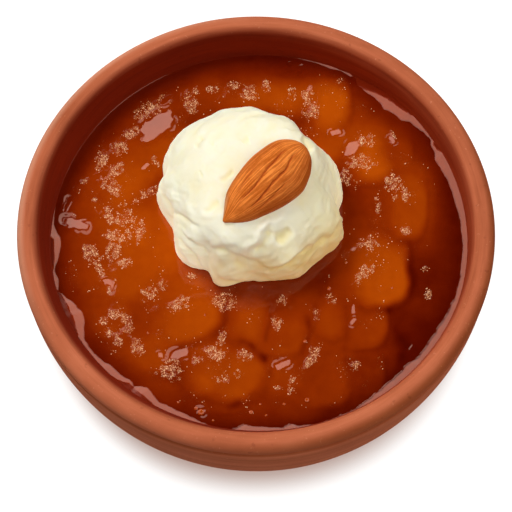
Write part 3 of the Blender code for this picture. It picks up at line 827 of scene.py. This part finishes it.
# strokes of the spoon on the photo's frame: kind, depth in mm, width in pixels, and the line
strokes = [
    ("shelf", 0.75, 3.6, [(196, 234), (216, 248), (243, 256), (269, 265), (281, 265), (301, 251), (323, 238),
                          (341, 219)]),
    ("shelf", 0.8, 2.4, [(177, 236), (188, 246), (196, 255), (199, 267), (213, 273)]),
    ("shelf", 0.7, 2.2, [(180, 233), (193, 239), (205, 247), (212, 255)]),
    ("shelf", 0.6, 2.6, [(165, 188), (170, 201), (179, 213), (193, 224), (203, 229)]),
    ("groove", 0.6, 3.2, [(200, 212), (209, 209), (221, 202)]),
    ("groove", 0.5, 3.2, [(220, 182), (228, 175), (235, 168)]),
    ("groove", 0.45, 4.0, [(195, 147), (202, 136)]), ("groove", 0.35, 3.0, [(242, 143), (249, 139)]),
    ("groove", 0.3, 3.0, [(211, 146), (214, 144)]), ("groove", 0.3, 2.6, [(199, 174), (201, 173)]),
    ("ridge", 0.6, 3.6, [(257, 266), (275, 264), (291, 255), (304, 244)]),
    ("groove", 1.0, 5.0, [(275, 243), (284, 237), (292, 230)]),
    ("ridge", 0.7, 3.2, [(270, 219), (264, 227), (255, 239), (242, 252)]),
    ("groove", 0.7, 3.6, [(272, 229), (262, 245), (252, 253)]),
    ("groove", 0.5, 3.6, [(212, 246), (225, 249), (240, 247)]),
    ("groove", 0.5, 3.4, [(232, 261), (241, 264), (250, 267)]),
    ("shelf", 0.8, 2.4, [(215, 273), (223, 280), (234, 281), (249, 282), (268, 285)]),
    ("shelf", 0.9, 2.4, [(326, 240), (333, 233), (339, 226), (344, 214)]),
    ("groove", 0.6, 2.8, [(301, 133), (306, 141), (311, 152)]),
    ("ridge", 0.35, 4.0, [(255, 229), (275, 222), (287, 215)]),
]


def swell(angle, middle, spread):
    away = (angle - middle + 180) % 360 - 180
    return np.maximum(0, 1 - (away / spread) ** 2) ** 2


def makeCream(material):
    rows, turns = cream["rows"], cream["turns"]
    fall, turn = roundGrid(np.linspace(0, math.pi, rows + 1)[1:-1], turns)
    fall, turn = np.append(fall, (0, math.pi)), np.append(turn, (0, 0))
    down, around = np.degrees(fall), np.degrees(turn)
    ways = np.stack([np.sin(fall) * np.cos(turn), np.sin(fall) * np.sin(turn), np.cos(fall)], 1)
    out = np.zeros(len(fall))
    for middle, spread, low, halfHeight, push in bulges:
        out += push * swell(around, middle, spread) * swell(down, low, halfHeight)
    power = cream["domePower"]
    dome = np.maximum(0, 1 - np.sin(fall) ** power) ** (1 / power)
    under = -np.maximum(0, -ways[:, 2]) ** cream["flatness"] * cream["sink"]
    height = np.where(ways[:, 2] > 0, dome * (cream["height"] + out), under)
    knots, reach = np.arange(-20, 381, 10), cream["reach"]
    skirt = curveThrough(around, knots, reach[-2:] + reach + reach[:3]) - cream["radius"]
    reach = cream["radius"] + skirt * swell(down, *cream["skirt"]) + out
    points = cream["middle"] + np.stack([ways[:, 0] * reach, ways[:, 1] * reach, height], 1)
    # strokes, which fade on the side away from the camera
    u, v = inPhoto(points * mm)
    wanderU, wanderV = (way + softNoise(u, v, 11, seed) * cream["strokeWander"]
                        for way, seed in ((u, 31), (v, 32)))
    push = np.zeros(len(points))
    for kind, depth, width, line in strokes:
        away, share = strokeDistance(wanderU, wanderV, line)
        if kind == "shelf":
            step = (0.5 + 0.5 * np.tanh(away / width * 1.6)) * np.exp(-np.maximum(0, away) / (width * 4.5))
            shape = step - 0.45 * np.exp(-((away + width * 0.4) / width) ** 2)
        else:
            shape = np.exp(-(away / width) ** 2) * (1 if kind == "ridge" else -1)
        ends = fadeEnds(share, -0.001, 0.22, 0.78, 1.001)
        push += shape * depth * ends * (np.abs(away) < cream["strokeReach"])
    facing = smoothStep(ways @ np.array(viewBack), -0.05, 0.25)
    push *= facing
    # bent places, so that the noise shows no straight lines
    px, py, pz = (along + cream["bent"] * softNoise(*others, 3.1, seed) for along, others, seed in zip(
        points.T, (points.T[1:], points.T[::2], points.T[:2]), (38, 39, 40)))
    lumps = softNoise(px + pz, py - pz, 3.4, 33) + 0.6 * softNoise(px - pz, py + pz, 1.9, 34)
    push += lumps * cream["lumps"] * (0.45 + 0.55 * facing)
    ragged = softNoise(px + 0.7 * pz, py - 0.7 * pz, 2.4, 36) + 0.5 * softNoise(px - pz, py + pz, 1.2, 37)
    push += ragged * cream["ragged"] * swell(down, 90, 40) * (0.4 + 0.6 * facing)
    push += softNoise(px + 0.5 * pz, py - 0.5 * pz, 0.8, 35) * cream["fine"]
    away = points - cream["middle"]
    outward = away / np.maximum(1e-6, np.linalg.norm(away, axis=1))[:, None]
    calm = smoothStep(points[:, 2], *cream["calmBelow"])
    points = points + outward * (push * calm)[:, None]
    return newPiece("creamScoop", points * mm, closedFaces(rows - 1, turns), material, hollow=-push)


def creamMaterial():
    material, wire, where = newMaterial("thickCream")
    hollow, = wire.attributes("hollow")
    cloud = wire.noise(where, 180, 3, 0.6)
    x, y, z = wire.split(where)
    low, side = z.over(48, 36), x.over(4, 19)
    front = (x * 0.5 - y).over(-4, 14)
    # painted shade: yellower in hollows, low down at the front and on the right side; the cloud adds a random
    # yellow tone
    yellowToneAndShade = hollow.ranged(-0.3, 0.7) * 0.6 + cloud.ranged(0.45, 0.75) * 0.25
    yellowToneAndShade = yellowToneAndShade + low * front * 0.45 + side * 0.4
    color = yellowToneAndShade.blend((0.89, 0.855, 0.7, 1), (0.88, 0.77, 0.42, 1))
    # painted light: the cream glows low down in place of light passed through it, and less at the front
    # right, away from the window, as painted shade
    paintedGlow = low.blend((0.115, 0.113, 0.07, 1), front.blend((0.33, 0.37, 0.26, 1), (0.12, 0.09, 0.0, 1)))
    bump = wire.bump(wire.noise(where, 1500, 3, 0.6) + cloud, 0.25, 0.1)
    finishMaterial(wire, color, {"Roughness": 0.42, "Specular IOR Level": 0.12, "Subsurface Weight": 0.5,
                                 "Subsurface Radius": (1.0, 0.9, 0.6), "Subsurface Scale": 1.8 * mm,
                                 "Emission Color": paintedGlow, "Emission Strength": 1.0}, Normal=bump)
    return material


creamPiece = makeCream(creamMaterial())
place(creamPiece, "cream_scoop", "cream")
print("cream shaped", len(creamPiece.data.polygons))


# almond

almond = {
    "length": 25.3, "thickness": 8.2, "rows": 240, "turns": 320,
    "veins": 0.06, "furrow": 0.42, "furrowWidth": 0.036,
    "middle": Vector((2.1, 3.7, 50.7)), "tipToEnd": Vector((0.706, 0.69, 0.17)),
    "outward": Vector((0.149, -0.294, 0.944)), "tipSide": 0.72,
    # share of the length from the tip, and how far its two sides reach there
    "sides": [(0, 0.75, 0.7), (0.05, 1.95, -0.8), (0.1, 3, -2.1), (0.15, 4, -3), (0.2, 4.8, -3.75),
              (0.3, 5.65, -4.75), (0.4, 6.15, -5.7), (0.5, 6.5, -6.45), (0.6, 6.6, -6.9), (0.7, 6.3, -7),
              (0.8, 5.8, -6.1), (0.85, 5.35, -5.5), (0.9, 4.5, -4.6), (0.95, 3.2, -3.4), (0.98, 2, -2.1),
              (1, 0.05, -0.05)],
}
# the furrows of its face: how deep, then share of the length from the tip and share of the half width
furrows = [
    (1, [(0.2, 0.16), (0.27, 0.19), (0.41, 0.225), (0.6, 0.39), (0.78, 0.46), (0.84, 0.42)]),
    (1, [(0.24, -0.36), (0.32, -0.32), (0.42, -0.22), (0.55, -0.1), (0.67, -0.07), (0.83, 0.06),
         (0.9, 0.04)]),
    (0.4, [(0.3, -0.62), (0.45, -0.5), (0.62, -0.4), (0.78, -0.36)]),
    (0.4, [(0.22, 0.55), (0.4, 0.66), (0.6, 0.72)]),
]


def makeAlmond(material):
    rows, turns, length = almond["rows"], almond["turns"], almond["length"]
    share, turn = roundGrid(0.5 - 0.5 * np.cos(np.linspace(0, math.pi, rows + 1))[1:-1], turns)
    shares, *sides = zip(*almond["sides"])
    knots = [math.acos(1 - 2 * at) for at in shares]
    left, right = (curveThrough(np.arccos(1 - 2 * share), knots, side) for side in sides)
    center, halfWidth = (left + right) / 2, np.maximum(0.02, (left - right) / 2)
    halfThick = halfWidth / halfWidth.max() * almond["thickness"] / 2
    across, lift = np.cos(turn), np.sin(turn)
    depth = np.zeros(len(share))
    for number, (deep, line) in enumerate(furrows):
        at, width = zip(*line)
        path = np.interp(share, at, width) + softNoise(share * 30, share * 0, 2.5, 41 + number) * 0.02
        ends = fadeEnds(share, at[0] - 0.05, at[0] + 0.12, at[-1] - 0.12, at[-1] + 0.05)
        depth += deep * ends * np.exp(-((across - path) / almond["furrowWidth"]) ** 2)
    depth *= smoothStep(lift, -0.1, 0.35)
    veins = sum(weight * softNoise(turn * around, share * along, 1.0, seed)
                for weight, around, along, seed in ((1, 22, 4, 51), (0.7, 46.2, 7, 52), (0.4, 88, 12, 53)))
    veinDepth = np.abs(veins) ** 0.8
    fade = smoothStep(share, 0.02, 0.2) * (1 - smoothStep(share, 0.86, 1.0) * 0.6)
    sink = depth * almond["furrow"] + (1 - np.clip(veinDepth, 0, 1)) * almond["veins"] * fade
    sink *= smoothStep(halfWidth, 0.2, 3.0)
    x = (share - 0.5) * length
    local = np.stack([x, center + across * (halfWidth - sink), lift * (halfThick - sink)], 1)
    local = np.concatenate([local, [(-length / 2, almond["tipSide"], 0), (length / 2, 0, 0)]])
    along = almond["tipToEnd"].normalized()
    outward = (almond["outward"] - almond["outward"].project(along)).normalized()
    frameOf = np.array([along, outward.cross(along), outward])
    points = local @ frameOf + np.array(almond["middle"])
    faces = [(face[0], *face[:0:-1]) for face in closedFaces(rows - 1, turns)]  # its rows run the other way
    # darker in the furrows and between the veins, with painted shade along the right side and at the left rim
    shade = 0.5 * smoothStep(-across, 0.1, 0.95) + 0.25 * smoothStep(across, 0.7, 1.0)
    groove = depth + shade + (1 - np.clip(veinDepth * 1.6, 0, 1)) * 0.35 * fade
    scar = smoothStep(share, 0.24, 0.1) * smoothStep(across, 0.75, 0.95)
    values = {"groove": np.clip(groove, 0, 1), "scar": scar, "veins": veins}
    values = {name: np.append(value, (0, 0)) for name, value in values.items()}
    return newPiece("almondSkin", points * mm, faces, material, **values)


def almondMaterial():
    material, wire, where = newMaterial("almondSkin")
    groove, scar, veins = wire.attributes("groove", "scar", "veins")
    fine = wire.noise(where, 2200, 3, 0.7)
    tone = (wire.noise(where, 220, 3, 0.6) * 0.8 + veins * 0.22 + fine * 0.3).ranged(0.2, 0.9)
    base = tone.blend((0.51, 0.098, 0.006, 1), (0.97, 0.29, 0.05, 1))
    # groove darkens the skin in the furrows and veins, and as painted shade at the sides
    base = (groove * 0.85).blend(base, (0.34, 0.052, 0.006, 1))
    base = (scar * 0.8).blend(base, (0.8, 0.42, 0.18, 1))
    bump = wire.bump(fine * 0.5 + veins * 0.35 - groove * 0.3, 0.5, 0.1)
    finishMaterial(wire, base, {"Roughness": 0.5, "Specular IOR Level": 0.08}, Normal=bump)
    return material


almondPiece = makeAlmond(almondMaterial())
place(almondPiece, "almond", "almond_skin")
print("almond shaped", len(almondPiece.data.polygons))
